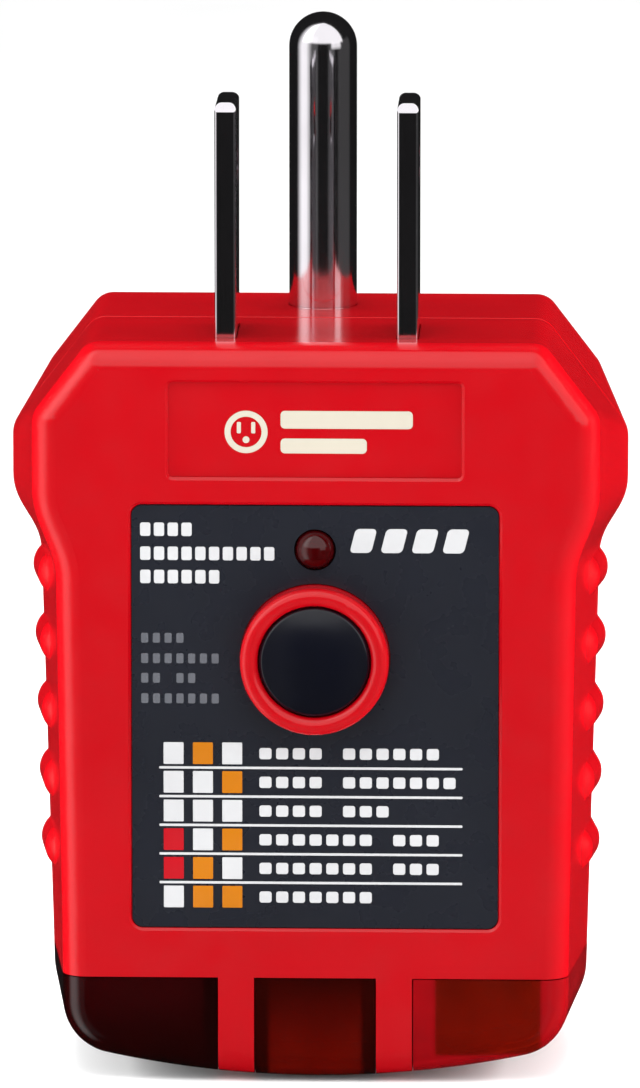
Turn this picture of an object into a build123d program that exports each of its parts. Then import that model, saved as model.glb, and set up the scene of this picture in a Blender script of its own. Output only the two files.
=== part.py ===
from build123d import *
import os
from collections import namedtuple
from math import hypot, sqrt

# Outlet tester plug. Millimetres, +Z up along the prongs, label side towards -Y.
# The origin is the centre of the plug face, on the parting plane of the two covers.

# ---------------------------------------------------------------- prongs (NEMA 5-15 pattern)
BLADE_X = 6.35  # each side of the middle
BLADE_Y = -5.95
PIN_Y = 5.95
BLADE_THICKNESS = 1.5
BLADE_WIDTH = 6.35
BLADE_LENGTH = 16.5
BLADE_TIP_TAPER = 0.6  # off each corner of the width
BLADE_TIP_ROUND = 0.5  # off each corner of the thickness
BLADE_EDGE_ROUND = 0.2
BLADE_HOLE_RADIUS = 1.6
BLADE_HOLE_HEIGHT = 11.7
PIN_RADIUS = 2.4
PIN_ROOT_RADIUS = 2.9  # below its tapered neck in the plug face
PIN_LENGTH = 20.9
PRONG_GAP = 0.05  # all round each prong in the plug face

# ---------------------------------------------------------------- body shape
Station = namedtuple("Station", "side side_end waist waist_end tail bottom corner")
PARTING = Station(21.75, -11.15, 19.75, -16.8, 18.85, -52.45, 4.6)  # half widths and heights
OUTSIDE = Station(19.55, -10.25, 17.95, -17.0, 17.55, -52.2, 3.8)
HALF_DEPTH = 12.4
TOP_HALF = 15.9  # half width of the plug face
SHOULDER_SLOPE = 7.5 / 5.75
SHOULDER_TOP_RADIUS = 1.6
SHOULDER_LOW_RADIUS = 2.2
BOTTOM_RADIUS = 70.0
EDGE_ROUND = 1.8
SEAM = 0.1  # chamfer of each cover along the parting plane
WALL = 1.7

# grip ribs on both sides
RIB_COUNT = 5
RIB_TOP = -17.7
RIB_PITCH = 4.92
RIB_RADIUS = 1.8
RIB_PROUD = 0.6
RIB_REACH = 3.4  # from the parting plane to the centre of the round end

# ---------------------------------------------------------------- front panel
BUTTON_Z = -22.05
BUTTON_RADIUS = 3.95  # of its hole in the cover
BUTTON_TRAVEL = 1.2
BUTTON_PROUD = 2.1
BUTTON_DOME = 0.6
BUTTON_ROUND = 0.35
RUNNING_GAP = 0.05
COLLAR_RADIUS = 5.2
COLLAR_PROUD = 1.9
COLLAR_ROUND = 0.6
LED_Z = -14.4
LED_RADIUS = 1.4
LED_PROUD = 0.75
LED_GAP = 0.06
LED_RIM = 0.35  # wider than the lens, behind the cover wall
LED_RIM_DEPTH = (0.1, 1.0)
LED_LEAD_X = 0.75
LABEL_SIZE = (25.7, 30.15)
LABEL_Z = -26.3
LABEL_CORNER = 0.8
LABEL_THICKNESS = 0.35
LABEL_POCKET = 0.5
LABEL_GAP = 0.06
BRAND_SIZE = (20.4, 6.7)
BRAND_Z = -5.95
BRAND_CORNER = 0.3
BRAND_DEPTH = 0.3
RIM = 0.2  # bevel round each pocket
REAR_LABEL_SIZE = (25.0, 15.0)
REAR_LABEL_Z = -24.5
REAR_LABEL_THICKNESS = 0.2
REAR_LABEL_POCKET = 0.35

# ---------------------------------------------------------------- lenses
LENS_TOP = -44.9
LENS_WALL = 2.4
LENS_FLANGE = 1.3  # tucked behind the cover wall
LENS_LAP = 0.5  # flange overlap with the lens below it
FINGER_X = (4.28, 6.8)  # the cover fingers between the lenses
LENS_GAP = 0.08
SEAT_GAP = 0.05

# ---------------------------------------------------------------- lamps and their baffle
BAFFLE_DEPTH = (0.1, 1.3)  # above the lens flanges
BAFFLE_WALL = 1.4
LAMP_X = 10.0
LAMP_RADIUS = 2.8
LAMP_Z = (-47.4, -36.6)
LAMP_GLASS = 0.5
LAMP_BASE = 2.0  # solid glass at the bottom end
LAMP_LEAD_OUT = 2.0  # from the glass to the bend
LAMP_LEAD_BEND = 0.8
ELECTRODE_RADIUS = 0.42
ELECTRODE_OFFSET = 0.9
ELECTRODE_DEPTH = (2.4, 7.5)  # inside the glass

# ---------------------------------------------------------------- prong carrier and wires
CARRIER_X = 10.8
CARRIER_Y = 9.6
CARRIER_Z = (-7.6, -1.75)
CARRIER_CORNER = 2.0
TAB_END = -11.0
TAB_HALF_WIDTH = 1.5
SHOULDER_Z = (-3.3, -1.75)
SHOULDER_WIDTH = 8.2
PIN_FLANGE_RADIUS = 3.4
PIN_TAIL_RADIUS = 1.5
WIRE_RADIUS = 0.7
WIRE_BEND = 1.7
WIRE_Z = -14.6

# ---------------------------------------------------------------- switch
SWITCH_HALF = 3.0
SWITCH_CORNER = 0.5
SWITCH_TOP = -1.6
SWITCH_BORE = 2.2
SWITCH_LEG = (0.3, 0.7)  # thickness and width
SWITCH_LEG_TOP = 0.2
SWITCH_LEG_Z = 2.25
PLUNGER_RADIUS = 1.7
PLUNGER_TOP = -2.9
PLUNGER_EDGE = 0.25
PLUNGER_SLACK = 0.2  # left under the plunger when the button is fully in
FLANGE_RADIUS = 4.9
FLANGE_THICKNESS = 1.0
STEM_RADIUS = 1.6
SPRING_RADIUS = 2.45
SPRING_WIRE = 0.2
SPRING_TURNS = 6

# ---------------------------------------------------------------- board and components
BOARD_Y = (1.8, 3.4)
BOARD_HALF_WIDTH = 11.3
BOARD_Z = (-35.3, -12.3)
BOARD_CORNER = 1.0
LEAD_RADIUS = 0.25
LEAD_REACH = 1.1  # how far a lead runs out of a component before it bends to the board
LEAD_BEND = 0.6
BALLAST_X = (-6.0, 0.0, 6.0)
BALLAST_Z = (-33.0, -26.8)
BALLAST_RADIUS = 1.15
BALLAST_HEIGHT = 1.6  # of its axis above the board
DIODE_X = 9.5
DIODE_Z = (-20.6, -15.6)
DIODE_RADIUS = 1.35
DIODE_HEIGHT = 1.8
TEST_HALF_LENGTH = 5.5
TEST_Z = -22.0
TEST_RADIUS = 2.2
TEST_HEIGHT = 2.8
END_ROUND = 0.4  # of a component's radius

# ---------------------------------------------------------------- screws
COVER_SCREWS = ((15.0, -11.5), (13.8, -30.5))
BOARD_SCREW = (9.0, -24.2)
BOSS_RADIUS = 2.3
BOARD_POST_RADIUS = 1.9
SCREW_RADIUS = 1.15
SCREW_HEAD_RADIUS = 2.1
SCREW_HEAD_HEIGHT = 1.5
SCREW_SEAT = 8.8
SCREW_END = -7.0
SCREW_HOLE_GAP = 0.1
HEAD_GAP = 0.2
CUP_WALL = 1.2  # round each screw head, inside the rear cover
CUP_FLOOR = 1.4
BOARD_SCREW_RADIUS = 0.9
BOARD_SCREW_END = 8.4
BOARD_HEAD_RADIUS = 1.8
BOARD_HEAD_HEIGHT = 1.1
HOLE_SPARE = 0.5  # past the end of a screw
HEAD_ROUND = 0.45  # of the head's height
RECESS_LONG = 0.55  # cross recess: half its length and half its width, as parts of the radius
RECESS_NARROW = 0.14

FIT_GAP = 0.02
CUT = 3.0  # how far a cutting shape runs past what it cuts
FAR = 60.0
TOLERANCE = 1e-6


# ---------------------------------------------------------------- helpers
def block(x, y, z):
    """Box between a low and a high limit on each axis."""
    size = [limit[1] - limit[0] for limit in (x, y, z)]
    return Pos(x[0], y[0], z[0]) * Box(*size, align=(Align.MIN, Align.MIN, Align.MIN))


def rod(radius, start, end):
    """Round bar from one point to another."""
    start = Vector(*start)
    run = Vector(*end) - start
    return Part() + Solid.make_cylinder(radius, run.length, Plane(origin=start, z_dir=run))


def panel(size, corner, z, y):
    """Flat sheet with rounded corners, between two depths, centred at height z."""
    sheet = extrude(RectangleRounded(*size, corner), y[1] - y[0])
    return Pos(0, y[1], z) * Rot(90, 0, 0) * sheet


def front_pocket(size, corner, z, depth):
    """Cutting shape for a shallow pocket in the front face, with a bevelled rim."""
    bevel = extrude(RectangleRounded(*size, corner), 2 * RIM, taper=-45)
    pocket = panel(size, corner, z, (-HALF_DEPTH - CUT, -HALF_DEPTH + depth))
    return pocket + Pos(0, -HALF_DEPTH + RIM, z) * Rot(90, 0, 0) * bevel


def bent_wire(points, bend, radius):
    """Round wire along straight runs with round bends."""
    path = FilletPolyline(*points, radius=bend)
    return sweep(Plane(origin=path @ 0, z_dir=path % 0) * Circle(radius), path)


def both_sides(part):
    return [part, mirror(part, about=Plane.YZ)]


# ---------------------------------------------------------------- body
def outline(station, inset):
    """Face of the body seen from the front, moved inwards by inset, with the shoulders run on upwards."""
    run = hypot(1, SHOULDER_SLOPE)
    top_half = TOP_HALF - (inset * run + CUT) / SHOULDER_SLOPE
    side, waist, tail = station.side - inset, station.waist - inset, station.tail - inset
    low = -inset * run - SHOULDER_SLOPE * (side - TOP_HALF)
    bottom = station.bottom + inset
    foot = bottom + BOTTOM_RADIUS - sqrt(BOTTOM_RADIUS**2 - tail**2)
    lean = Vector(tail - waist, foot - station.waist_end)
    edges = [
        Line((-top_half, CUT), (top_half, CUT)),
        ThreePointArc((-tail, foot), (0, bottom), (tail, foot)),
    ]
    for sign in (-1, 1):
        edges += [
            Line((sign * top_half, CUT), (sign * side, low)),
            Line((sign * side, low), (sign * side, station.side_end)),
            Spline(
                (sign * side, station.side_end),
                (sign * waist, station.waist_end),
                tangents=[(0, -1), (sign * lean.X, lean.Y)],
            ),
            Line((sign * waist, station.waist_end), (sign * tail, foot)),
        ]
    face = make_face(edges)
    for height, radius in ((low, SHOULDER_LOW_RADIUS - inset / 2), (foot, station.corner - inset)):
        corners = [v for v in face.vertices() if abs(v.Y - height) < TOLERANCE]
        face = fillet(corners, radius)
    return face


def half_body(inset):
    """Front half of the body as one solid, moved inwards by inset on every outer face."""
    at_parting = Plane.XZ * outline(PARTING, inset)
    at_front = Plane.XZ.offset(HALF_DEPTH - inset) * outline(OUTSIDE, inset)
    half = loft([at_parting, at_front], ruled=True)
    half &= block((-FAR, FAR), (-FAR, FAR), (-FAR, -inset))
    shoulders = half.faces().sort_by(Axis.Z)[-1].edges().sort_by(Axis.X)
    return fillet([shoulders[0], shoulders[-1]], SHOULDER_TOP_RADIUS - inset / 2)


def whole_body(inset):
    half = half_body(inset)
    return half + mirror(half, about=Plane.XZ)


def side_wall(z, y):
    """Half width of the side wall below the waist, at a height and a distance from the parting."""
    at_parting, at_front = (
        s.waist + (s.tail - s.waist) * (z - s.waist_end) / (s.bottom - s.waist_end)
        for s in (PARTING, OUTSIDE)
    )
    return at_parting + (at_front - at_parting) * y / HALF_DEPTH


def grip_rib(z):
    """Half-round rib on one side, which follows the wall and ends round."""
    inside = RIB_PROUD - RIB_RADIUS
    start = (side_wall(z, -1) + inside, 1, z)
    end = (side_wall(z, RIB_REACH) + inside, -RIB_REACH, z)
    return rod(RIB_RADIUS, start, end) + Pos(*end) * Sphere(RIB_RADIUS)


def outer_half():
    """Front half of the outer shape, with its rounded front edge and its grip ribs."""
    half = half_body(0)
    half = fillet(half.faces().sort_by(Axis.Y)[0].edges(), EDGE_ROUND)
    for i in range(RIB_COUNT):
        for rib in both_sides(grip_rib(RIB_TOP - i * RIB_PITCH)):
            half += rib
    return half & block((-FAR, FAR), (-FAR, 0), (-FAR, FAR))


# ---------------------------------------------------------------- covers
def lens_windows(grow=0.0, top=LENS_TOP):
    """Boxes for the left, centre and right window at the bottom end."""
    inner, outer = FINGER_X
    z = (-FAR, top)
    return [
        block((-FAR, -outer + grow), (-FAR, FAR), z),
        block((-inner - grow, inner + grow), (-FAR, FAR), z),
        block((outer - grow, FAR), (-FAR, FAR), z),
    ]


def cover_shell():
    """Front half shell, open at the parting plane and at the lens windows."""
    outer = outer_half()
    parting = outer.faces().filter_by(Axis.Y).sort_by(Axis.Y)[-1]
    seam = [edge for edge in parting.outer_wire().edges() if edge.center().Z < -SEAM]
    shell = chamfer(seam, SEAM) - half_body(WALL)
    for window in lens_windows():
        shell -= window
    return shell


def bosses(y):
    """Screw bosses inside one cover, from the wall to the parting plane."""
    posts = Part()
    for x, z in COVER_SCREWS:
        for post in both_sides(rod(BOSS_RADIUS, (x, y[0], z), (x, y[1], z))):
            posts += post
    return posts


def screw_holes(radius, y):
    holes = Part()
    for x, z in COVER_SCREWS:
        for hole in both_sides(rod(radius, (x, y[0], z), (x, y[1], z))):
            holes += hole
    return holes


def collar():
    """Round bead that stands up around the test button."""
    foot, top = -HALF_DEPTH + WALL / 2, -HALF_DEPTH - COLLAR_PROUD
    ring = rod(COLLAR_RADIUS, (0, foot, BUTTON_Z), (0, top, BUTTON_Z))
    ring -= rod(BUTTON_RADIUS, (0, foot + CUT, BUTTON_Z), (0, top - CUT, BUTTON_Z))
    crest = ring.faces().sort_by(Axis.Y)[0]
    return fillet(crest.edges(), COLLAR_ROUND)


def front_cover():
    part = cover_shell()
    part += bosses((-HALF_DEPTH + WALL / 2, 0)) & half_body(WALL / 2)
    part -= front_pocket(LABEL_SIZE, LABEL_CORNER, LABEL_Z, LABEL_POCKET)
    part -= front_pocket(BRAND_SIZE, BRAND_CORNER, BRAND_Z, BRAND_DEPTH)
    part += collar()
    for radius, z in ((BUTTON_RADIUS, BUTTON_Z), (LED_RADIUS + LED_GAP, LED_Z)):
        part -= rod(radius, (0, -HALF_DEPTH - CUT, z), (0, -HALF_DEPTH + CUT, z))
    part -= screw_holes(SCREW_RADIUS + FIT_GAP, (SCREW_END - HOLE_SPARE, CUT))
    half_x, half_y = BLADE_THICKNESS / 2 + PRONG_GAP, BLADE_WIDTH / 2 + PRONG_GAP
    x, y = (BLADE_X - half_x, BLADE_X + half_x), (BLADE_Y - half_y, BLADE_Y + half_y)
    for slot in both_sides(block(x, y, (-CUT, CUT))):
        part -= slot
    return part


def rear_cover():
    part = mirror(cover_shell(), about=Plane.XZ)
    inside = mirror(half_body(WALL / 2), about=Plane.XZ)
    posts = bosses((0, HALF_DEPTH - WALL / 2))
    cup_radius = SCREW_HEAD_RADIUS + CUP_WALL
    for x, z in COVER_SCREWS:
        for cup in both_sides(rod(cup_radius, (x, SCREW_SEAT - CUP_FLOOR, z), (x, HALF_DEPTH, z))):
            posts += cup
    x, z = BOARD_SCREW
    for post in both_sides(rod(BOARD_POST_RADIUS, (x, BOARD_Y[1], z), (x, HALF_DEPTH, z))):
        posts += post
    part += posts & inside
    part -= screw_holes(SCREW_RADIUS + SCREW_HOLE_GAP, (-CUT, FAR))
    part -= screw_holes(SCREW_HEAD_RADIUS + HEAD_GAP, (SCREW_SEAT, FAR))
    pilot = rod(BOARD_SCREW_RADIUS + FIT_GAP, (x, 0, z), (x, BOARD_SCREW_END + HOLE_SPARE, z))
    for hole in both_sides(pilot):
        part -= hole
    part -= rod(PIN_RADIUS + PRONG_GAP, (0, PIN_Y, -CUT), (0, PIN_Y, CUT))
    part -= pin_neck(PRONG_GAP)
    pocket = front_pocket(REAR_LABEL_SIZE, LABEL_CORNER, REAR_LABEL_Z, REAR_LABEL_POCKET)
    return part - mirror(pocket, about=Plane.XZ)


def label_plate():
    """Dark printed panel in its pocket, with holes for the button collar and the lamp."""
    size = [side - 2 * LABEL_GAP for side in LABEL_SIZE]
    bed = -HALF_DEPTH + LABEL_POCKET
    sheet = panel(size, LABEL_CORNER - LABEL_GAP, LABEL_Z, (bed - LABEL_THICKNESS, bed))
    sheet -= rod(COLLAR_RADIUS + LABEL_GAP, (0, -FAR, BUTTON_Z), (0, 0, BUTTON_Z))
    return sheet - rod(LED_RADIUS + LED_GAP, (0, -FAR, LED_Z), (0, 0, LED_Z))


def rear_label():
    size = [side - 2 * LABEL_GAP for side in REAR_LABEL_SIZE]
    bed = HALF_DEPTH - REAR_LABEL_POCKET
    return panel(size, LABEL_CORNER - LABEL_GAP, REAR_LABEL_Z, (bed, bed + REAR_LABEL_THICKNESS))


# ---------------------------------------------------------------- lenses, baffle and lamps
def lens(window):
    """Clear window that wraps round the bottom end, with a flange behind the cover wall."""
    outer = outer_half()
    outer += mirror(outer, about=Plane.XZ)
    inner = whole_body(LENS_WALL)
    skin = (outer - inner) & window
    z = (LENS_TOP - LENS_LAP, LENS_TOP + LENS_FLANGE)
    span = window.bounding_box()
    ring = block((max(span.min.X, -FAR), span.max.X), (-FAR, FAR), z)
    return skin + ((whole_body(WALL + SEAT_GAP) - inner) & ring)


def light_baffle():
    """Plate that holds the three lamps, with a wall behind each pair of cover fingers."""
    plate_z = [LENS_TOP + LENS_FLANGE + depth for depth in BAFFLE_DEPTH]
    cavity = whole_body(LENS_WALL + SEAT_GAP)
    part = cavity & block((-FAR, FAR), (-FAR, FAR), plate_z)
    left = (sum(FINGER_X) - BAFFLE_WALL) / 2
    wall = block((left, left + BAFFLE_WALL), (-FAR, FAR), (-FAR, plate_z[0]))
    for side in both_sides(wall & cavity):
        part += side
    for x in (-LAMP_X, 0, LAMP_X):
        part -= rod(LAMP_RADIUS + RUNNING_GAP, (x, 0, -FAR), (x, 0, 0))
    return part


def round_ended(radius, x, low, high):
    """Upright round bar whose lower end is half a sphere."""
    return rod(radius, (x, 0, high), (x, 0, low)) + Pos(x, 0, low) * Sphere(radius)


def lamp_glass(x):
    """Glass bulb with a round end and two lead holes in its base."""
    tip, base = LAMP_Z
    crown = tip + LAMP_RADIUS
    glass = round_ended(LAMP_RADIUS, x, crown, base)
    glass -= round_ended(LAMP_RADIUS - LAMP_GLASS, x, crown, base - LAMP_BASE)
    for offset in (-ELECTRODE_OFFSET, ELECTRODE_OFFSET):
        at = x + offset
        glass -= rod(LEAD_RADIUS + FIT_GAP, (at, 0, base + CUT), (at, 0, base - CUT))
    return glass


def lamp_electrodes():
    """The electrode and lead of each lamp: six bent wires, thick inside the glass."""
    base = LAMP_Z[1]
    near, deep = ELECTRODE_DEPTH
    bend_z = base + LAMP_LEAD_OUT
    wires = []
    for x in (-LAMP_X, 0, LAMP_X):
        for offset in (-ELECTRODE_OFFSET, ELECTRODE_OFFSET):
            at = x + offset
            route = [(at, 0, base - near), (at, 0, bend_z), (at, BOARD_Y[0], bend_z)]
            lead = bent_wire(route, LAMP_LEAD_BEND, LEAD_RADIUS)
            wires.append(lead + rod(ELECTRODE_RADIUS, (at, 0, base - near), (at, 0, base - deep)))
    return Compound(wires)


# ---------------------------------------------------------------- prongs
def upright_bar(width):
    """Flat outline of a blade, from its shoulders up to its tip."""
    height = BLADE_LENGTH - SHOULDER_Z[1]
    return Pos(0, SHOULDER_Z[1] + height / 2) * Rectangle(width, height)


def blade():
    """Line blade on the right-hand side, with shoulders under the plug face and a wire tab."""
    half, t = BLADE_WIDTH / 2, BLADE_THICKNESS
    side_on, edge_on = upright_bar(BLADE_WIDTH), upright_bar(t)
    side_on = chamfer(side_on.vertices().group_by(Axis.Y)[-1], BLADE_TIP_TAPER)
    edge_on = fillet(edge_on.vertices().group_by(Axis.Y)[-1], BLADE_TIP_ROUND)
    part = extrude(RectangleRounded(t, BLADE_WIDTH, BLADE_EDGE_ROUND), FAR, both=True)
    part &= extrude(Plane.YZ * side_on, t, both=True)
    part &= extrude(Plane.XZ * edge_on, BLADE_WIDTH, both=True)
    part -= rod(BLADE_HOLE_RADIUS, (-t, 0, BLADE_HOLE_HEIGHT), (t, 0, BLADE_HOLE_HEIGHT))
    for half_width, z in (
        (SHOULDER_WIDTH / 2, SHOULDER_Z),
        (half, (CARRIER_Z[0], SHOULDER_Z[0])),
        (TAB_HALF_WIDTH, (TAB_END, CARRIER_Z[0])),
    ):
        part += block((-t / 2, t / 2), (-half_width, half_width), z)
    return Pos(BLADE_X, BLADE_Y, 0) * part


def pin_neck(grow=0.0):
    """Tapered neck of the ground pin, from the plug face down to its flange."""
    foot = Plane((0, PIN_Y, SHOULDER_Z[1]))
    return Part() + Solid.make_cone(PIN_ROOT_RADIUS + grow, PIN_RADIUS + grow, -SHOULDER_Z[1], foot)


def ground_pin():
    """Round pin with a hemispherical tip, a neck and a flange under the plug face and a wire tail."""
    pin = Pos(0, PIN_Y, PIN_LENGTH - PIN_RADIUS) * Sphere(PIN_RADIUS)
    pin += pin_neck()
    for radius, low, high in (
        (PIN_RADIUS, 0, PIN_LENGTH - PIN_RADIUS),
        (PIN_ROOT_RADIUS, CARRIER_Z[0], SHOULDER_Z[0]),
        (PIN_FLANGE_RADIUS, *SHOULDER_Z),
        (PIN_TAIL_RADIUS, TAB_END, CARRIER_Z[0]),
    ):
        pin += rod(radius, (0, PIN_Y, low), (0, PIN_Y, high))
    return pin


def prong_carrier():
    """Insulating block that holds the three prongs under the plug face."""
    z = (CARRIER_Z[0], CARRIER_Z[1] - SEAT_GAP)
    part = block((-CARRIER_X, CARRIER_X), (-CARRIER_Y, CARRIER_Y), z)
    part = fillet(part.edges().filter_by(Axis.Z), CARRIER_CORNER)
    seat = SHOULDER_Z[0] - FIT_GAP
    half_x, half_y, wide = (
        w / 2 + FIT_GAP for w in (BLADE_THICKNESS, BLADE_WIDTH, SHOULDER_WIDTH)
    )
    x = (BLADE_X - half_x, BLADE_X + half_x)
    slot = block(x, (BLADE_Y - half_y, BLADE_Y + half_y), (-FAR, 0))
    slot += block(x, (BLADE_Y - wide, BLADE_Y + wide), (seat, 0))
    for side in both_sides(slot):
        part -= side
    part -= rod(PIN_ROOT_RADIUS + FIT_GAP, (0, PIN_Y, -FAR), (0, PIN_Y, 0))
    return part - rod(PIN_FLANGE_RADIUS + FIT_GAP, (0, PIN_Y, seat), (0, PIN_Y, 0))


def prong_wire(x, y, board_face):
    """Insulated wire from the tail of a prong down and across to the board."""
    route = [(x, y, TAB_END), (x, y, WIRE_Z), (x, board_face, WIRE_Z)]
    return bent_wire(route, WIRE_BEND, WIRE_RADIUS)


# ---------------------------------------------------------------- test button and its switch
def button_flange():
    """Where the button's flange starts and ends along Y, with the button out."""
    outer = -HALF_DEPTH + WALL + RUNNING_GAP
    return outer, outer + FLANGE_THICKNESS


def test_button():
    """Push button: domed cap, keeper flange behind the cover and a stem to the switch."""
    radius = BUTTON_RADIUS - RUNNING_GAP
    flange = button_flange()
    top = -HALF_DEPTH - BUTTON_PROUD
    dome_radius = (radius**2 + BUTTON_DOME**2) / (2 * BUTTON_DOME)
    cap = rod(radius, (0, top, BUTTON_Z), (0, flange[0], BUTTON_Z))
    cap &= Pos(0, top + dome_radius, BUTTON_Z) * Sphere(dome_radius)
    cap = fillet(cap.edges().sort_by(Axis.Y)[0], BUTTON_ROUND)
    cap += rod(FLANGE_RADIUS, (0, flange[0], BUTTON_Z), (0, flange[1], BUTTON_Z))
    return cap + rod(STEM_RADIUS, (0, flange[1], BUTTON_Z), (0, PLUNGER_TOP - FIT_GAP, BUTTON_Z))


def button_spring():
    """Compression spring between the button flange and the switch."""
    low = SWITCH_TOP - SPRING_WIRE - FIT_GAP
    high = button_flange()[1] + SPRING_WIRE + FIT_GAP
    length = low - high
    coil = Helix(length / SPRING_TURNS, length, SPRING_RADIUS)
    section = Plane(origin=coil @ 0, z_dir=coil % 0) * Circle(SPRING_WIRE)
    return Pos(0, low, BUTTON_Z) * Rot(90, 0, 0) * sweep(section, coil, is_frenet=True)


def switch_body():
    half = SWITCH_HALF
    part = block((-half, half), (SWITCH_TOP, BOARD_Y[0]), (BUTTON_Z - half, BUTTON_Z + half))
    part = chamfer(part.edges().filter_by(Axis.Y), SWITCH_CORNER)
    floor = SWITCH_TOP + SWITCH_BORE
    return part - rod(
        PLUNGER_RADIUS + RUNNING_GAP, (0, SWITCH_TOP - CUT, BUTTON_Z), (0, floor, BUTTON_Z)
    )


def switch_plunger():
    end = SWITCH_TOP + SWITCH_BORE - BUTTON_TRAVEL - PLUNGER_SLACK
    plunger = rod(PLUNGER_RADIUS, (0, PLUNGER_TOP, BUTTON_Z), (0, end, BUTTON_Z))
    return chamfer(plunger.faces().sort_by(Axis.Y)[0].edges(), PLUNGER_EDGE)


def switch_pins():
    """Four legs of the switch, from its sides to the board."""
    thick, wide = SWITCH_LEG
    inner = SWITCH_HALF + FIT_GAP
    pins = []
    for middle in (BUTTON_Z - SWITCH_LEG_Z, BUTTON_Z + SWITCH_LEG_Z):
        z = (middle - wide / 2, middle + wide / 2)
        pins += both_sides(block((inner, inner + thick), (SWITCH_LEG_TOP, BOARD_Y[0]), z))
    return Compound(pins)


# ---------------------------------------------------------------- board and its components
def main_board():
    half = BOARD_HALF_WIDTH
    part = block((-half, half), BOARD_Y, BOARD_Z)
    part = fillet(part.edges().filter_by(Axis.Y), BOARD_CORNER)
    x, z = BOARD_SCREW
    for hole in both_sides(rod(BOARD_SCREW_RADIUS + SCREW_HOLE_GAP, (x, 0, z), (x, FAR, z))):
        part -= hole
    return part


def status_led():
    """Round indicator with a domed end in the label and a rim behind the cover."""
    crown = -HALF_DEPTH - LED_PROUD + LED_RADIUS
    rim, back = (-HALF_DEPTH + WALL + depth for depth in LED_RIM_DEPTH)
    led = rod(LED_RADIUS, (0, crown, LED_Z), (0, back, LED_Z))
    led += Pos(0, crown, LED_Z) * Sphere(LED_RADIUS)
    return led + rod(LED_RADIUS + LED_RIM, (0, rim, LED_Z), (0, back, LED_Z))


def led_leads():
    y = (-HALF_DEPTH + WALL + LED_RIM_DEPTH[1], BOARD_Y[0])
    z = (LED_Z - LEAD_RADIUS, LED_Z + LEAD_RADIUS)
    return Compound(both_sides(block((LED_LEAD_X - LEAD_RADIUS, LED_LEAD_X + LEAD_RADIUS), y, z)))


def axial_body(radius, start, end):
    """Component body along a line, with rounded ends."""
    part = rod(radius, start, end)
    return fillet(part.edges().filter_by(GeomType.CIRCLE), radius * END_ROUND)


def axial_leads(start, end, outward, board_face):
    """Two leads that run out of a component's ends and bend to the board."""
    leads = []
    for at, sign in ((Vector(*start), -1), (Vector(*end), 1)):
        out = at + Vector(*outward) * (sign * LEAD_REACH)
        down = Vector(out.X, board_face, out.Z)
        leads.append(bent_wire([at, out, down], LEAD_BEND, LEAD_RADIUS))
    return leads


def components():
    """Bodies and leads of the resistors and diodes on the board."""
    front, rear = BOARD_Y
    upwards, sideways = (0, 0, 1), (1, 0, 0)
    ballast, diodes, leads = [], [], []
    for x in BALLAST_X:
        start, end = ((x, front - BALLAST_HEIGHT, z) for z in BALLAST_Z)
        ballast.append(axial_body(BALLAST_RADIUS, start, end))
        leads += axial_leads(start, end, upwards, front)
    for x in (-DIODE_X, DIODE_X):
        start, end = ((x, front - DIODE_HEIGHT, z) for z in DIODE_Z)
        diodes.append(rod(DIODE_RADIUS, start, end))
        leads += axial_leads(start, end, upwards, front)
    start, end = ((x, rear + TEST_HEIGHT, TEST_Z) for x in (-TEST_HALF_LENGTH, TEST_HALF_LENGTH))
    leads += axial_leads(start, end, sideways, rear)
    return {
        "ballast_resistors": Compound(ballast),
        "diodes": Compound(diodes),
        "test_resistor": axial_body(TEST_RADIUS, start, end),
        "component_leads": Compound(leads),
    }


# ---------------------------------------------------------------- screws
def screw(x, z, head, shank):
    """Pan head screw along Y, with a cross recess: head and shank are (radius, start, end)."""
    radius, under, top = head
    part = rod(radius, (x, under, z), (x, top, z))
    crown = part.faces().filter_by(Axis.Y).sort_by(lambda face: abs(face.center().Y - top))[0]
    part = fillet(crown.edges(), abs(top - under) * HEAD_ROUND)
    depth = sorted(((under + top) / 2, top + (top - under)))
    long, narrow = radius * RECESS_LONG, radius * RECESS_NARROW
    for half_x, half_z in ((long, narrow), (narrow, long)):
        part -= block((x - half_x, x + half_x), depth, (z - half_z, z + half_z))
    return part + rod(shank[0], (x, shank[1], z), (x, shank[2], z))


def cover_screws():
    head = (SCREW_HEAD_RADIUS, SCREW_SEAT, SCREW_SEAT + SCREW_HEAD_HEIGHT)
    shank = (SCREW_RADIUS, SCREW_SEAT, SCREW_END)
    screws = []
    for x, z in COVER_SCREWS:
        screws += both_sides(screw(x, z, head, shank))
    return Compound(screws)


def board_screws():
    x, z = BOARD_SCREW
    head = (BOARD_HEAD_RADIUS, BOARD_Y[0], BOARD_Y[0] - BOARD_HEAD_HEIGHT)
    shank = (BOARD_SCREW_RADIUS, BOARD_Y[0], BOARD_SCREW_END)
    return Compound(both_sides(screw(x, z, head, shank)))


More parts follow.
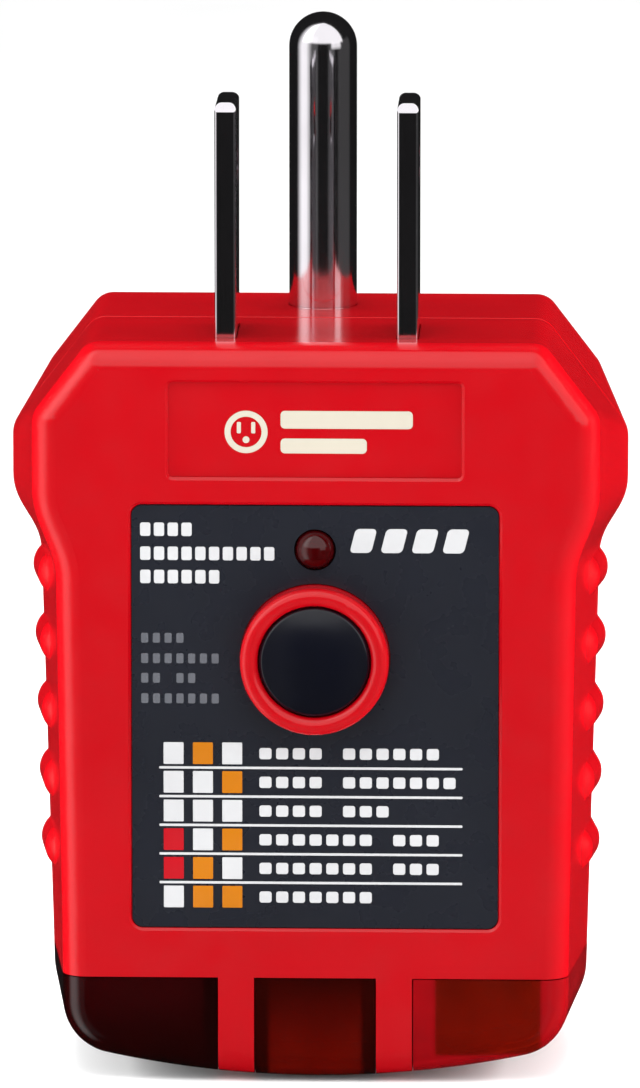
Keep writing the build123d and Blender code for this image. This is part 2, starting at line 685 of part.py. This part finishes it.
# ---------------------------------------------------------------- one file per sub-part
def nodes():
    left, centre, right = lens_windows(-LENS_GAP, LENS_TOP - LENS_GAP)
    hot = blade()
    parts = {
        "front_cover": front_cover(),
        "rear_cover": rear_cover(),
        "label_plate": label_plate(),
        "rear_label": rear_label(),
        "left_lens": lens(left),
        "centre_lens": lens(centre),
        "right_lens": lens(right),
        "light_baffle": light_baffle(),
        "left_lamp": lamp_glass(-LAMP_X),
        "centre_lamp": lamp_glass(0),
        "right_lamp": lamp_glass(LAMP_X),
        "lamp_electrodes": lamp_electrodes(),
        "hot_blade": hot,
        "neutral_blade": mirror(hot, about=Plane.YZ),
        "ground_pin": ground_pin(),
        "prong_carrier": prong_carrier(),
        "hot_wire": prong_wire(BLADE_X, BLADE_Y, BOARD_Y[0]),
        "neutral_wire": prong_wire(-BLADE_X, BLADE_Y, BOARD_Y[0]),
        "ground_wire": prong_wire(0, PIN_Y, BOARD_Y[1]),
        "test_button": test_button(),
        "button_spring": button_spring(),
        "switch_body": switch_body(),
        "switch_plunger": switch_plunger(),
        "switch_pins": switch_pins(),
        "main_board": main_board(),
        "status_led": status_led(),
        "led_leads": led_leads(),
        "cover_screws": cover_screws(),
        "board_screws": board_screws(),
    }
    return {**parts, **components()}


os.makedirs("parts", exist_ok=True)
for name, part in nodes().items():
    export_step(part, f"parts/{name}.step")
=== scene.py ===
import math

import bmesh
import bpy
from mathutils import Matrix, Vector


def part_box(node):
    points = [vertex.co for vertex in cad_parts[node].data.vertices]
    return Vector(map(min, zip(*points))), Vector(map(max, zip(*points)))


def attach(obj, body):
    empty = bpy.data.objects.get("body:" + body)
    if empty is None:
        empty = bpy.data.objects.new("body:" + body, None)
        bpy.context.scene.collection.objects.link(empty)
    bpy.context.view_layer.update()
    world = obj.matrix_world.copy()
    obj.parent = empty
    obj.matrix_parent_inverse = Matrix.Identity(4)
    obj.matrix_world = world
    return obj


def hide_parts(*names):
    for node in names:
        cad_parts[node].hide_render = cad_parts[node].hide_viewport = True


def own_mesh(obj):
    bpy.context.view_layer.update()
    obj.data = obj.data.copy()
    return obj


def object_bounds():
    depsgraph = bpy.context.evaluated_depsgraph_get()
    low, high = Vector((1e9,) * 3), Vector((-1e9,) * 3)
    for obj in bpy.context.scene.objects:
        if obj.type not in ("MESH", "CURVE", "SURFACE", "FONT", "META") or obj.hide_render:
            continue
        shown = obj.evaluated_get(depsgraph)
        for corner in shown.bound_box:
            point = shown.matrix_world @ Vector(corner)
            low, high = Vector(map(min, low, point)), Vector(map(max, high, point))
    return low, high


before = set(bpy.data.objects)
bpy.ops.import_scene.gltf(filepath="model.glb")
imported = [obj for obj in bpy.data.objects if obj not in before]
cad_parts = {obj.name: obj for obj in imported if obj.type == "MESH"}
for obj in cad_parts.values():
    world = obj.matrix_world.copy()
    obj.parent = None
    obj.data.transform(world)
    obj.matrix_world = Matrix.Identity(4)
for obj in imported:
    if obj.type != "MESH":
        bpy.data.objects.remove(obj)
cad_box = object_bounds()
MM = 0.001


# ---------------------------------------------------------------- node helpers
WIDE_STOPS = (0.3, 0.7)  # where a noise value of 0 to 1 starts and stops changing a colour
NARROW_STOPS = (0.35, 0.65)


class Tree:
    """Short calls for the nodes of one material or world."""

    def __init__(self, tree):
        self.nodes = tree.nodes
        self.links = tree.links

    def join(self, socket, value):
        """Sets a socket to a number, or links another node's output to it."""
        if isinstance(value, (int, float)):
            socket.default_value = value
        else:
            self.links.new(value, socket)

    def math(self, operation, *values):
        node = self.nodes.new("ShaderNodeMath")
        node.operation = operation
        for socket, value in zip(node.inputs, values):
            self.join(socket, value)
        return node.outputs["Value"]

    def step(self, value, start, end):
        """Goes smoothly from 0 at start to 1 at end, or the other way when end is below start."""
        node = self.nodes.new("ShaderNodeMapRange")
        node.interpolation_type = "SMOOTHSTEP"
        up = end > start
        self.join(node.inputs["Value"], value)
        node.inputs["From Min"].default_value = start if up else end
        node.inputs["From Max"].default_value = end if up else start
        node.inputs["To Min"].default_value = 0 if up else 1
        node.inputs["To Max"].default_value = 1 if up else 0
        return node.outputs["Result"]

    def window(self, value, low, high, fade):
        """1 between low and high, and 0 further than fade outside them."""
        rise = self.step(value, low - fade, low)
        return self.math("MULTIPLY", rise, self.step(value, high + fade, high))

    def ramp(self, source, first, second, stops=WIDE_STOPS):
        """Goes from one colour to another between two stops: a number stands for a grey."""
        node = self.nodes.new("ShaderNodeValToRGB")
        for element, position, colour in zip(node.color_ramp.elements, stops, (first, second)):
            element.position = position
            if isinstance(colour, (int, float)):
                colour = (colour, colour, colour)
            element.color = (*colour, 1)
        self.join(node.inputs["Fac"], source)
        return node.outputs["Color"]

    def mix(self, share, first, second):
        node = self.nodes.new("ShaderNodeMix")
        node.data_type = "RGBA"
        self.join(node.inputs["Factor"], share)
        self.links.new(first, node.inputs["A"])
        self.links.new(second, node.inputs["B"])
        return node.outputs["Result"]


class Finish(Tree):
    """A material with a Principled shader."""

    def __init__(self, name, **values):
        self.material = bpy.data.materials.new(name)
        self.material.use_nodes = True
        super().__init__(self.material.node_tree)
        self.shader = self.nodes["Principled BSDF"]
        for socket, value in values.items():
            self.shader.inputs[socket.replace("_", " ")].default_value = value
        self.place = self.nodes.new("ShaderNodeTexCoord").outputs["Object"]

    def axes(self):
        node = self.nodes.new("ShaderNodeSeparateXYZ")
        self.links.new(self.place, node.inputs["Vector"])
        return node.outputs["X"], node.outputs["Y"], node.outputs["Z"]

    def noise(self, scale, detail=3.0, stretch=(1, 1, 1)):
        mapping = self.nodes.new("ShaderNodeMapping")
        mapping.inputs["Scale"].default_value = stretch
        self.links.new(self.place, mapping.inputs["Vector"])
        node = self.nodes.new("ShaderNodeTexNoise")
        node.inputs["Scale"].default_value = scale
        node.inputs["Detail"].default_value = detail
        self.links.new(mapping.outputs["Vector"], node.inputs["Vector"])
        return node.outputs["Fac"]

    def feed(self, socket, source):
        self.links.new(source, self.shader.inputs[socket])

    def gloss(self, source, low, high):
        self.feed("Roughness", self.ramp(source, low, high))

    def bump(self, source, height_mm):
        node = self.nodes.new("ShaderNodeBump")
        node.inputs["Strength"].default_value = 1
        node.inputs["Distance"].default_value = height_mm * MM
        self.links.new(source, node.inputs["Height"])
        self.links.new(node.outputs["Normal"], self.shader.inputs["Normal"])


def darker(colour, share):
    return tuple(share * channel for channel in colour)


# ---------------------------------------------------------------- materials
# Noise scales: a feature is about 1 / scale of a metre across.
FLOW_SCALE = 90
SHEEN_SCALE = 400
SKIN_SCALE = 1400
DRAW_SCALE = 900
TARNISH_SCALE = 120
TINT_SCALE = 150
POLISH_SCALE = 500
RIPPLE_SCALE = 300


def moulded(name, colour, roughness=(0.4, 0.5), grain=0.004, shade=0.88):
    """Moulded plastic: faint flow variation in colour and gloss, and a fine skin."""
    finish = Finish(name)
    flow = finish.noise(FLOW_SCALE, 2.0)
    finish.feed("Base Color", finish.ramp(flow, darker(colour, shade), colour))
    finish.gloss(finish.noise(SHEEN_SCALE), *roughness)
    finish.bump(finish.noise(SKIN_SCALE, 2.0), grain)
    return finish.material


def plated(name, colour, roughness, stretch=(1, 1, 1), grain=0.003, metal=1.0):
    """Bright metal with faint draw marks: metal is below 1 where film or zinc scatters some light."""
    finish = Finish(name, Metallic=metal)
    marks = finish.noise(DRAW_SCALE, 4.0, stretch)
    tarnish = finish.noise(TARNISH_SCALE)
    finish.feed("Base Color", finish.ramp(tarnish, darker(colour, 0.9), colour, NARROW_STOPS))
    finish.gloss(marks, *roughness)
    finish.bump(marks, grain)
    return finish.material


CLEAR_RIPPLE = 0.004


def clear(name, tint, share, roughness):
    """See-through material with a faintly uneven surface: share is how much light goes through."""
    finish = Finish(name, Transmission_Weight=share, IOR=1.5)
    cloud = finish.noise(TINT_SCALE)
    finish.feed("Base Color", finish.ramp(cloud, darker(tint, 0.85), tint, NARROW_STOPS))
    finish.gloss(finish.noise(POLISH_SCALE), roughness, roughness * 1.5)
    finish.bump(finish.noise(RIPPLE_SCALE, 1.0), CLEAR_RIPPLE)
    return finish.material


LENS_SHARE = 0.45  # of the light that a lens lets through
LENS_FADE = 0.5 * MM  # at the sides of the middle field
LENS_FLOOR_FADE = 0.4  # in mm, at its lower edge
LENS_CLOUD_SCALE = 260
LENS_RIPPLE_SCALE = 220
LENS_RIPPLE = 0.01
LENS_GLOSS = (0.04, 0.08)
SIDE_SHADE = 0.75
MIDDLE_SHADE = 0.7


def lens_finish(node, margins, floor, painted_side_colour, middle, foot):
    """Deep tinted lens, coloured by place: a middle field of one colour, fading to a foot colour at its
    bottom, inside sides of another colour. It is partly the lens's own tint and partly painted: the middle
    field is painted shade of the unlit inside, and the sides paint the housing seen through the lens and
    the light falling on it.
    """
    low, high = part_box(node)
    finish = Finish(node, Transmission_Weight=LENS_SHARE, IOR=1.57)
    x, _, z = finish.axes()
    # the middle field: its colour is painted shade of the unlit inside, over the lens's own tint
    field = finish.math(
        "MULTIPLY",
        finish.window(x, low[0] + margins[0] * MM, high[0] - margins[1] * MM, LENS_FADE),
        finish.step(z, low[2] + (floor - LENS_FLOOR_FADE) * MM, low[2] + floor * MM),
    )
    cloud = finish.noise(LENS_CLOUD_SCALE, 2.0)
    height = finish.step(z, low[2], high[2])
    # the sides: painted reflection of the housing seen through the lens, with painted light falling on it
    sides = finish.ramp(cloud, darker(painted_side_colour, SIDE_SHADE), painted_side_colour)
    centre = finish.mix(
        height,
        finish.ramp(cloud, darker(foot, SIDE_SHADE), foot),
        finish.ramp(cloud, darker(middle, MIDDLE_SHADE), middle),
    )
    finish.feed("Base Color", finish.mix(field, sides, centre))
    finish.gloss(finish.noise(POLISH_SCALE), *LENS_GLOSS)
    finish.bump(finish.noise(LENS_RIPPLE_SCALE, 1.5), LENS_RIPPLE)
    return finish.material


INK_GLOSS = (0.16, 0.22)
RED = moulded("red_abs", (0.38, 0.0008, 0.0042), (0.13, 0.18), 0.0008, 0.95)
SLATE = moulded("label_print", (0.012, 0.0135, 0.02), (0.24, 0.32), 0.002)
BLACK = moulded("black_cap", (0.003, 0.0035, 0.0075), (0.16, 0.22), 0.002)
SILVER = plated("silver_label", (0.6, 0.61, 0.63), (0.3, 0.42), (1, 1, 12), metal=0.35)
NICKEL = plated("nickel", (0.82, 0.79, 0.83), (0.07, 0.13), (9, 9, 1), 0.0008)
TIN = plated("tinned_wire", (0.8, 0.8, 0.8), (0.2, 0.3))
STEEL = plated("zinc_steel", (0.6, 0.62, 0.66), (0.22, 0.32), metal=0.6)
SPRING = plated("spring_steel", (0.5, 0.5, 0.52), (0.25, 0.35))
EPOXY = clear("red_epoxy", (0.055, 0.0006, 0.0012), 0.4, 0.03)
BULB = clear("lamp_glass", (0.93, 0.94, 0.93), 1.0, 0.01)
LAMINATE = moulded("fibreglass", (0.045, 0.15, 0.055), (0.35, 0.5), shade=0.7)
NYLON = moulded("carrier_nylon", (0.02, 0.02, 0.021), (0.45, 0.55), 0.01, 0.6)
BAFFLE = moulded("baffle_dark", (0.03, 0.027, 0.027), (0.5, 0.6), 0.01, 0.7)
PHENOLIC = moulded("black_phenolic", (0.02, 0.02, 0.02), shade=0.6)
TAN = moulded("resistor_tan", (0.5, 0.34, 0.2), (0.35, 0.45))
BLUE = moulded("resistor_blue", (0.15, 0.25, 0.36), shade=0.8)
PVC_BLACK = moulded("wire_black", (0.018, 0.018, 0.018), shade=0.7)
PVC_WHITE = moulded("wire_white", (0.68, 0.68, 0.65))
PVC_GREEN = moulded("wire_green", (0.02, 0.17, 0.045), shade=0.7)
PLUNGER = moulded("plunger_white", (0.68, 0.68, 0.65), (0.3, 0.4))
INK_WHITE = moulded("ink_white", (0.5, 0.505, 0.515), INK_GLOSS, shade=0.92)
INK_CREAM = moulded("ink_cream", (0.5, 0.46, 0.38), INK_GLOSS, shade=0.94)
INK_GREY = moulded("ink_grey", (0.1, 0.105, 0.12), INK_GLOSS)
INK_ORANGE = moulded("ink_orange", (0.46, 0.145, 0.002), INK_GLOSS)
INK_RED = moulded("ink_red", (0.4, 0.002, 0.008), INK_GLOSS)
# lens colours are partly tint and partly painted: the dark middle fields are painted shade of the unlit
# inside, and the side colours paint the housing seen through each lens
LEFT_LENS = lens_finish(
    "left_lens", margins=(1.8, 1.2), floor=1.6,
    painted_side_colour=(0.012, 0.0006, 0.0006), middle=(0.034, 0.001, 0.0015), foot=(0.012, 0.0005, 0.0005),
)
CENTRE_LENS = lens_finish(
    "centre_lens", margins=(1.2, 1.2), floor=0.2,
    painted_side_colour=(0.03, 0.001, 0.0003), middle=(0.028, 0.0008, 0.0002), foot=(0.16, 0.003, 0.0004),
)
# the right lens's red sides, widest on the right, are a painted reflection of the red housing seen through
# it, with painted light from the right
RIGHT_LENS = lens_finish(
    "right_lens", margins=(1.8, 3.4), floor=1.9,
    painted_side_colour=(0.44, 0.004, 0.008), middle=(0.17, 0.005, 0.0006), foot=(0.2, 0.004, 0.0006),
)

NODE_MATERIALS = {
    "front_cover": RED, "rear_cover": RED, "label_plate": SLATE, "rear_label": SILVER,
    "left_lens": LEFT_LENS, "centre_lens": CENTRE_LENS, "right_lens": RIGHT_LENS,
    "light_baffle": BAFFLE, "left_lamp": BULB, "centre_lamp": BULB, "right_lamp": BULB,
    "lamp_electrodes": TIN, "hot_blade": NICKEL, "neutral_blade": NICKEL, "ground_pin": NICKEL,
    "prong_carrier": NYLON, "hot_wire": PVC_BLACK, "neutral_wire": PVC_WHITE,
    "ground_wire": PVC_GREEN, "test_button": BLACK, "button_spring": SPRING,
    "switch_body": PHENOLIC, "switch_plunger": PLUNGER, "switch_pins": TIN,
    "main_board": LAMINATE, "status_led": EPOXY, "led_leads": TIN, "cover_screws": STEEL,
    "board_screws": STEEL, "ballast_resistors": TAN, "diodes": PHENOLIC, "test_resistor": BLUE,
    "component_leads": TIN,
}
for node, material in NODE_MATERIALS.items():
    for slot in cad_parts[node].material_slots:
        slot.material = material


# ---------------------------------------------------------------- printing
INK_THICKNESS = 0.02
CORNER_STEPS = 5


def rounded(left, right, low, high, corner, slant=0):
    """Points round a bar with rounded corners, in mm: slant leans it to the right."""
    ring = []
    for x, z, start in (
        (right - corner, high - corner, 0), (left + corner, high - corner, 90),
        (left + corner, low + corner, 180), (right - corner, low + corner, 270),
    ):
        for i in range(CORNER_STEPS + 1):
            angle = math.radians(start + 90 * i / CORNER_STEPS)
            px, pz = x + corner * math.cos(angle), z + corner * math.sin(angle)
            ring.append((px + slant * (pz - low), pz))
    return ring


def circle(x, z, radius, steps=40):
    turns = [2 * math.pi * i / steps for i in range(steps)]
    return [(x + radius * math.cos(t), z + radius * math.sin(t)) for t in turns]


def new_piece(name, bm, material, smooth=False):
    """Makes an object of a built mesh, which rides on the root body."""
    bmesh.ops.recalc_face_normals(bm, faces=bm.faces)
    for face in bm.faces:
        face.smooth = smooth
    mesh = bpy.data.meshes.new(name)
    bm.to_mesh(mesh)
    bm.free()
    mesh.materials.append(material)
    piece = bpy.data.objects.new(name, mesh)
    bpy.context.collection.objects.link(piece)
    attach(piece, "root")
    return piece


def printed(name, shapes, material, surface_y, side=-1):
    """One mesh of thin flat shapes on a surface: each shape is an outline, or an outer and an inner one."""
    bm = bmesh.new()
    levels = (surface_y, surface_y + side * INK_THICKNESS * MM)
    for shape in shapes:
        rings = shape if isinstance(shape[0][0], tuple) else (shape,)
        bed, top = (
            [[bm.verts.new((x * MM, y, z * MM)) for x, z in ring] for ring in rings] for y in levels
        )
        for low, high in zip(bed, top):
            for a in range(len(low)):
                b = (a + 1) % len(low)
                bm.faces.new((low[a], low[b], high[b], high[a]))
        for layer in (bed, top):
            if len(layer) == 1:
                bm.faces.new(layer[0])
                continue
            outer, inner = layer
            for a in range(len(outer)):
                b = (a + 1) % len(outer)
                bm.faces.new((outer[a], outer[b], inner[b], inner[a]))
    new_piece(name, bm, material)


IN_FRONT = -0.1  # clear of the object on the label side


def surface_at(node, x, z):
    """Depth of a node's surface straight behind a point, seen from the label side."""
    start = Vector((x * MM, IN_FRONT, z * MM))
    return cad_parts[node].ray_cast(start, Vector((0, 1, 0)))[1].y


def word_blocks(x, z, words, letter, pitch, slant=0):
    """A line of print without lettering: a small block for each letter of each word."""
    width, height = letter
    blocks = []
    for count in words:
        for _ in range(count):
            blocks.append(rounded(x, x + width, z - height / 2, z + height / 2, width * 0.2, slant))
            x += pitch
        x += pitch
    return blocks


# all places on the label are measured from its top left corner
label_low, label_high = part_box("label_plate")
LABEL_LEFT, LABEL_TOP = label_low[0] / MM, label_high[2] / MM
LABEL_Y = label_low[1]


def on_label(right, down):
    return LABEL_LEFT + right, LABEL_TOP - down


def label_words(name, lines, letter, pitch, material, slant=0):
    """Lines of blocks on the label: each line is (right, down, words)."""
    blocks = []
    for right, down, words in lines:
        blocks += word_blocks(*on_label(right, down), words, letter, pitch, slant)
    printed(name, blocks, material, LABEL_Y)


PATTERN = ("WOW", "WWO", "WWW", "RWO", "ROW", "WOO")
INKS = {"W": ("white", INK_WHITE), "O": ("orange", INK_ORANGE), "R": ("red", INK_RED)}
SQUARE = (1.4, 1.55)
SQUARE_CORNER = 0.06
RULE_CORNER = 0.05
CAPTION_LETTER = (0.85, 0.8)
CAPTION_PITCH = 1.17
ROW_DOWN, ROW_PITCH = 17.6, 2.05
COLUMN_RIGHT, COLUMN_PITCH = 2.9, 2.05
LINE_SPAN, LINE_THICKNESS = (1.9, 23.1), 0.17
CAPTION_RIGHT = 8.9
CAPTIONS = ((4, 6), (4, 7), (4, 3), (7, 3), (7, 3), (7,))


def chart():
    """Squares, rules and captions of the lamp pattern chart."""
    squares = {letter: [] for letter in INKS}
    rules, captions = [], []
    for row, marks in enumerate(PATTERN):
        down = ROW_DOWN + row * ROW_PITCH
        for column, mark in enumerate(marks):
            x, z = on_label(COLUMN_RIGHT + column * COLUMN_PITCH, down)
            wide, tall = SQUARE[0] / 2, SQUARE[1] / 2
            squares[mark].append(rounded(x - wide, x + wide, z - tall, z + tall, SQUARE_CORNER))
        if row:
            left, middle = on_label(LINE_SPAN[0], down - ROW_PITCH / 2)
            low, high = middle - LINE_THICKNESS / 2, middle + LINE_THICKNESS / 2
            rules.append(rounded(left, LABEL_LEFT + LINE_SPAN[1], low, high, RULE_CORNER))
        captions.append((CAPTION_RIGHT, down, CAPTIONS[row]))
    for letter, (ink, material) in INKS.items():
        printed(f"chart_squares_{ink}", squares[letter], material, LABEL_Y)
    printed("chart_rules", rules, INK_WHITE, LABEL_Y)
    label_words("chart_captions", captions, CAPTION_LETTER, CAPTION_PITCH, INK_WHITE)


HEADING = ((0.6, 1.7, (4,)), (0.6, 3.4, (10,)), (0.6, 5.05, (6,)))
HEADING_RIGHT = ((15.2, 2.45, (4,)),)
NOTE = ((0.65, 9.4, (4,)), (0.65, 10.85, (7,)), (0.65, 12.25, (2, 2)), (0.65, 13.7, (7,)))
# the lines, the size of a letter's block, the pitch, the ink and the slant
LABEL_TEXT = {
    "label_heading": (HEADING, (0.72, 0.95), 0.96, INK_WHITE, 0),
    "label_heading_right": (HEADING_RIGHT, (1.5, 1.7), 2.15, INK_WHITE, 0.25),
    "label_note": (NOTE, (0.5, 0.7), 0.82, INK_GREY, 0),
}


BRAND_MIDDLE = -6.1
BRAND_LEFT = -6.3
BRAND_HALF_HEIGHT = 1.5
RING_WIDTH = 0.42
BLADE_SLOTS = (-0.5, 0.5)
BLADE_SLOT_HALF_WIDTH = 0.14
BLADE_SLOT_SPAN = (-0.1, 0.7)
GROUND_HOLE = (-0.55, 0.24)  # height of its middle, and its radius
BAR_GAP = 0.9
BAR_CORNER = 0.3
BARS = ((9.2, 0.25, 1.5), (6.0, -1.5, -0.45))  # length, lower edge and upper edge


def brand_mark():
    """Plain sign in the upper recess: a socket face in a ring, and two bars."""
    x, z = BRAND_LEFT + BRAND_HALF_HEIGHT, BRAND_MIDDLE
    shapes = [(circle(x, z, BRAND_HALF_HEIGHT), circle(x, z, BRAND_HALF_HEIGHT - RING_WIDTH))]
    for side in BLADE_SLOTS:
        left, right = x + side - BLADE_SLOT_HALF_WIDTH, x + side + BLADE_SLOT_HALF_WIDTH
        low, high = (z + edge for edge in BLADE_SLOT_SPAN)
        shapes.append(rounded(left, right, low, high, 0.08))
    shapes.append(circle(x, z + GROUND_HOLE[0], GROUND_HOLE[1], 20))
    left = x + BRAND_HALF_HEIGHT + BAR_GAP
    for length, low, high in BARS:
        shapes.append(rounded(left, left + length, z + low, z + high, BAR_CORNER))
    printed("brand_mark", shapes, INK_CREAM, surface_at("front_cover", 0, z))


REAR_ROWS = ((11, 7), (16,), (6, 9), (13, 4), (8, 8))
REAR_START = (2.2, 2.6)  # right of and below the label's top left corner
REAR_ROW_PITCH = 2.4
REAR_LETTER = (0.75, 0.9)
REAR_PITCH = 1.05
FRAME_EDGES = ((0.7, 0.5), (0.85, 0.4))  # inset and corner radius of the frame line's two edges


def rear_print():
    """Rows of blocks and a frame line on the rear label."""
    low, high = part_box("rear_label")
    left, right, foot, top = low[0] / MM, high[0] / MM, low[2] / MM, high[2] / MM
    shapes = [tuple(
        rounded(left + inset, right - inset, foot + inset, top - inset, corner)
        for inset, corner in FRAME_EDGES
    )]
    for row, words in enumerate(REAR_ROWS):
        z = top - REAR_START[1] - REAR_ROW_PITCH * row
        shapes += word_blocks(left + REAR_START[0], z, words, REAR_LETTER, REAR_PITCH)
    printed("rear_print", shapes, PHENOLIC, high[1], 1)


chart()
for name, text in LABEL_TEXT.items():
    label_words(name, *text)
brand_mark()
rear_print()


# ---------------------------------------------------------------- return spring
SPRING_TURNS = 6
RING_STEPS = 12
TURN_STEPS = 32
CLOSED_TURNS = 0.8  # at each end, wound flat
WIRE_RADIUS = 0.2


def return_spring():
    """Compression spring with closed ends, in the place of the CAD spring."""
    low, high = (Vector(corner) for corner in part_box("button_spring"))
    wire = WIRE_RADIUS * MM
    radius = (high.x - low.x) / 2 - wire
    middle = (low + high) / 2
    start, end = low.y + wire, high.y - wire
    flat = 2 * wire / (end - start)
    rings = []
    steps = SPRING_TURNS * TURN_STEPS
    bm = bmesh.new()
    for i in range(steps + 1):
        turn = i / TURN_STEPS
        inner = (turn - CLOSED_TURNS) / (SPRING_TURNS - 2 * CLOSED_TURNS)
        share = flat + (1 - 2 * flat) * min(1, max(0, inner))
        share -= flat * max(0, 1 - turn / CLOSED_TURNS)
        share += flat * max(0, 1 - (SPRING_TURNS - turn) / CLOSED_TURNS)
        angle = 2 * math.pi * turn
        out = Vector((math.cos(angle), 0, math.sin(angle)))
        centre = Vector((middle.x, start + share * (end - start), middle.z)) + out * radius
        ring = []
        for k in range(RING_STEPS):
            a = 2 * math.pi * k / RING_STEPS
            ring.append(bm.verts.new(centre + (out * math.cos(a) + Vector((0, math.sin(a), 0))) * wire))
        rings.append(ring)
    for first, second in zip(rings, rings[1:]):
        for k in range(RING_STEPS):
            n = (k + 1) % RING_STEPS
            bm.faces.new((first[k], first[n], second[n], second[k]))
    bm.faces.new(rings[0])
    bm.faces.new(rings[-1])
    spring = new_piece("return_spring", bm, SPRING, smooth=True)
    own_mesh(spring)
    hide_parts("button_spring")


return_spring()


# ---------------------------------------------------------------- stage, lights and camera
FLOOR_SIDE = 6
FLOOR_TONES = (0.95, 0.96)
FLOOR_GLOSS = (0.7, 0.8)


def stage_floor():
    finish = Finish("floor_paper")
    finish.feed("Base Color", finish.ramp(finish.noise(9), *FLOOR_TONES))
    finish.gloss(finish.noise(40), *FLOOR_GLOSS)
    bpy.ops.mesh.primitive_plane_add(size=FLOOR_SIDE, location=(0, 0, cad_box[0][2]))
    floor = bpy.context.object
    floor.name = "floor"
    floor.data.materials.append(finish.material)
    floor.visible_glossy = False


def direction(azimuth, elevation):
    """Unit vector away from the origin: azimuth 0 is the label side and grows to the right."""
    a, e = math.radians(azimuth), math.radians(elevation)
    return Vector((math.sin(a) * math.cos(e), -math.cos(a) * math.cos(e), math.sin(e)))


# azimuth and elevation in degrees, distance and size in metres, power in watts
AREA_LIGHTS = {
    "front_top": (-8, 52, 0.13, (0.1, 0.08), 0.13),
    "back_top": (180, 65, 0.25, (0.2, 0.12), 0.38),
    "left": (-95, 10, 0.3, (0.2, 0.2), 1.8),
    "right": (95, 10, 0.3, (0.2, 0.2), 1.8),
}


def area_light(name, azimuth, elevation, distance, size, power):
    """Soft light that faces the origin and isn't seen in reflections."""
    away = direction(azimuth, elevation)
    data = bpy.data.lights.new(name, "AREA")
    data.shape = "RECTANGLE"
    data.size, data.size_y = size
    data.energy = power
    lamp = bpy.data.objects.new(name, data)
    bpy.context.collection.objects.link(lamp)
    lamp.location = away * distance
    lamp.rotation_euler = (-away).to_track_quat("-Z", "Y").to_euler()
    lamp.visible_glossy = False


# What shiny surfaces see: soft boxes as (azimuths, elevations, fade, brightness) in degrees. Azimuth 0 is
# the label side and grows to the right, and a box fades out past its edges.
SOFT_BOXES = (
    ((-73, -61), (-40, 60), 27, 1.2),
    ((-40, -22), (-40, 30), 10, 0.1),
    ((26, 36), (-40, 12), 12, 0.07),
    ((60, 98), (-40, 12), 12, 0.05),
    ((34, 60), (4, 10), 8, 1.0),
    ((-70, 70), (18, 89), 9, 1.2),
)
DARK_STUDIO = 0.01
EVEN_LIGHT = 1.02


def studio_world():
    """White to the camera, even light for matt surfaces, and soft boxes in a dark studio for shiny ones."""
    world = bpy.data.worlds.new("studio")
    bpy.context.scene.world = world
    world.use_nodes = True
    tree = Tree(world.node_tree)
    axes = tree.nodes.new("ShaderNodeSeparateXYZ")
    tree.links.new(tree.nodes.new("ShaderNodeTexCoord").outputs["Generated"], axes.inputs["Vector"])
    x, y, z = (axes.outputs[name] for name in "XYZ")
    turn = tree.math("ARCTAN2", x, tree.math("MULTIPLY", y, -1))
    azimuth = tree.math("MULTIPLY", turn, math.degrees(1))
    elevation = tree.math("MULTIPLY", tree.math("ARCSINE", z), math.degrees(1))
    level = DARK_STUDIO
    for azimuths, elevations, fade, brightness in SOFT_BOXES:
        box = tree.math(
            "MULTIPLY",
            tree.window(azimuth, *azimuths, fade),
            tree.window(elevation, *elevations, fade),
        )
        level = tree.math("MULTIPLY_ADD", box, brightness, level)

    def light(strength):
        node = tree.nodes.new("ShaderNodeBackground")
        node.inputs["Color"].default_value = (1, 1, 1, 1)
        tree.join(node.inputs["Strength"], strength)
        return node.outputs["Background"]

    def choose(ray, otherwise, then):
        node = tree.nodes.new("ShaderNodeMixShader")
        tree.links.new(path.outputs[ray], node.inputs["Fac"])
        tree.links.new(otherwise, node.inputs[1])
        tree.links.new(then, node.inputs[2])
        return node.outputs["Shader"]

    path = tree.nodes.new("ShaderNodeLightPath")
    unseen = choose("Is Glossy Ray", light(EVEN_LIGHT), light(level))
    seen = choose("Is Camera Ray", unseen, light(1.0))
    tree.links.new(seen, tree.nodes["World Output"].inputs["Surface"])


CAMERA_AZIMUTH = 1.8
CAMERA_ELEVATION = 10.5
CAMERA_DISTANCE = 0.806
CAMERA_LENS = 378.5
AIM_LEFT = 0.035  # of the origin, in mm
AIM_BELOW = 15.97


def camera():
    away = direction(CAMERA_AZIMUTH, CAMERA_ELEVATION)
    right = Vector((-away.y, away.x, 0)).normalized()
    up = away.cross(right)
    target = -up * AIM_BELOW * MM - right * AIM_LEFT * MM
    data = bpy.data.cameras.new("camera")
    data.lens = CAMERA_LENS
    data.clip_start = 0.01
    view = bpy.data.objects.new("camera", data)
    bpy.context.collection.objects.link(view)
    view.location = target + away * CAMERA_DISTANCE
    view.rotation_euler = (-away).to_track_quat("-Z", "Y").to_euler()
    bpy.context.scene.camera = view


stage_floor()
studio_world()
for name, values in AREA_LIGHTS.items():
    area_light(name, *values)
camera()
bpy.context.scene.view_settings.view_transform = "Standard"
